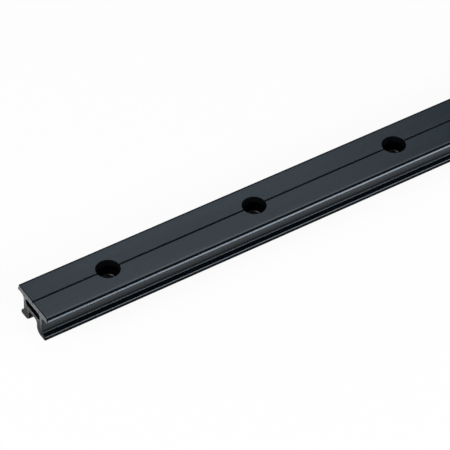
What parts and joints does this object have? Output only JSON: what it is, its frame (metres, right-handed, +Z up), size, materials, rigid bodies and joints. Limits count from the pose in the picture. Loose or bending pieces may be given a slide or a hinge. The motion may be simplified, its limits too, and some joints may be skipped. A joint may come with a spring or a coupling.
{
  "type": "sail track",
  "caption": "Low extruded track with hollow side edges and ball races under them, a closed chamber, flared feet and counterbored bolt holes down the middle.",
  "frame": {"origin": "centre of the underside of the feet, halfway along the track", "axes": "+X along the track, +Z up out of the flat top, Y across; the section is the same on both sides of Y = 0"},
  "size_m": [1, 0.0334, 0.0205],
  "materials": {
    "anodised_aluminium": "satin black hard anodised"
  },
  "bodies": {
    "root": {"track_rail": "anodised_aluminium"}
  },
  "joints": []
}
